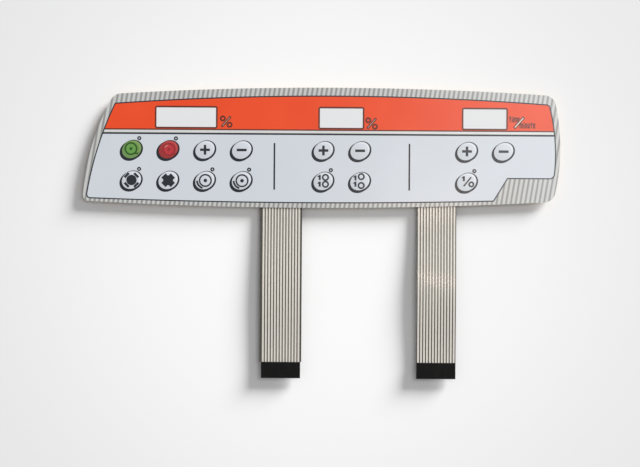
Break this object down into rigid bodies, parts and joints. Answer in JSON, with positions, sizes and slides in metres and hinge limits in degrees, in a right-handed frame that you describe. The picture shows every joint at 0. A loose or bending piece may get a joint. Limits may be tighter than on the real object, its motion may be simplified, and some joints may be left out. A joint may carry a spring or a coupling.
{
  "type": "membrane keypad",
  "caption": "Flat membrane keypad with bowed edges, display windows, printed keys and indicator marks, and two flat tails that end in crimp sockets.",
  "frame": {"origin": "middle of the panel's outline, on the rear face of the peel-off liner", "axes": "+X along the panel to the right as its front is read, +Y up the front towards the display windows, +Z out of the front"},
  "size_m": [0.4084, 0.2488, 0.0034],
  "materials": {
    "liner_paper": "smooth coated kraft",
    "adhesive": "clear acrylic adhesive",
    "circuit_film": "polyester film with grey dielectric",
    "silver_ink": "screen-printed silver",
    "led_resin": "clear resin",
    "conductive_paste": "cured paste",
    "clear_film": "clear polyester film",
    "front_film": "hazy clear polycarbonate film",
    "light_grey_ink": "semi-gloss print",
    "grey_ink": "semi-gloss print",
    "orange_ink": "semi-gloss print",
    "white_ink": "semi-gloss print",
    "blue_grey_ink": "semi-gloss print",
    "milky_ink": "translucent print",
    "dark_ink": "semi-gloss print",
    "brown_ink": "semi-gloss print",
    "pale_ink": "semi-gloss print",
    "green_ink": "semi-gloss print",
    "red_ink": "semi-gloss print",
    "black_nylon": "moulded, fine texture",
    "tinned_brass": "tin plate"
  },
  "bodies": {
    "root": {"release_liner": "liner_paper", "rear_adhesive": "adhesive", "circuit_film": "circuit_film", "left_circuit": "silver_ink", "right_circuit": "silver_ink", "indicator_leds": "led_resin", "film_joint": "conductive_paste", "spacer": "clear_film", "upper_contacts": "silver_ink", "upper_film": "clear_film", "front_adhesive": "adhesive", "graphic_overlay": "front_film", "border_print": "light_grey_ink", "border_stripes": "grey_ink", "orange_band": "orange_ink", "white_stripe": "white_ink", "key_field": "blue_grey_ink", "indicator_spots": "milky_ink", "dark_lines": "dark_ink", "brown_lines": "brown_ink", "key_shades": "dark_ink", "pale_key_faces": "pale_ink", "green_key_face": "green_ink", "red_key_face": "red_ink", "key_signs": "dark_ink", "white_slashes": "white_ink", "left_socket_housing": "black_nylon", "right_socket_housing": "black_nylon", "left_socket_contacts": "tinned_brass", "right_socket_contacts": "tinned_brass"}
  },
  "joints": []
}
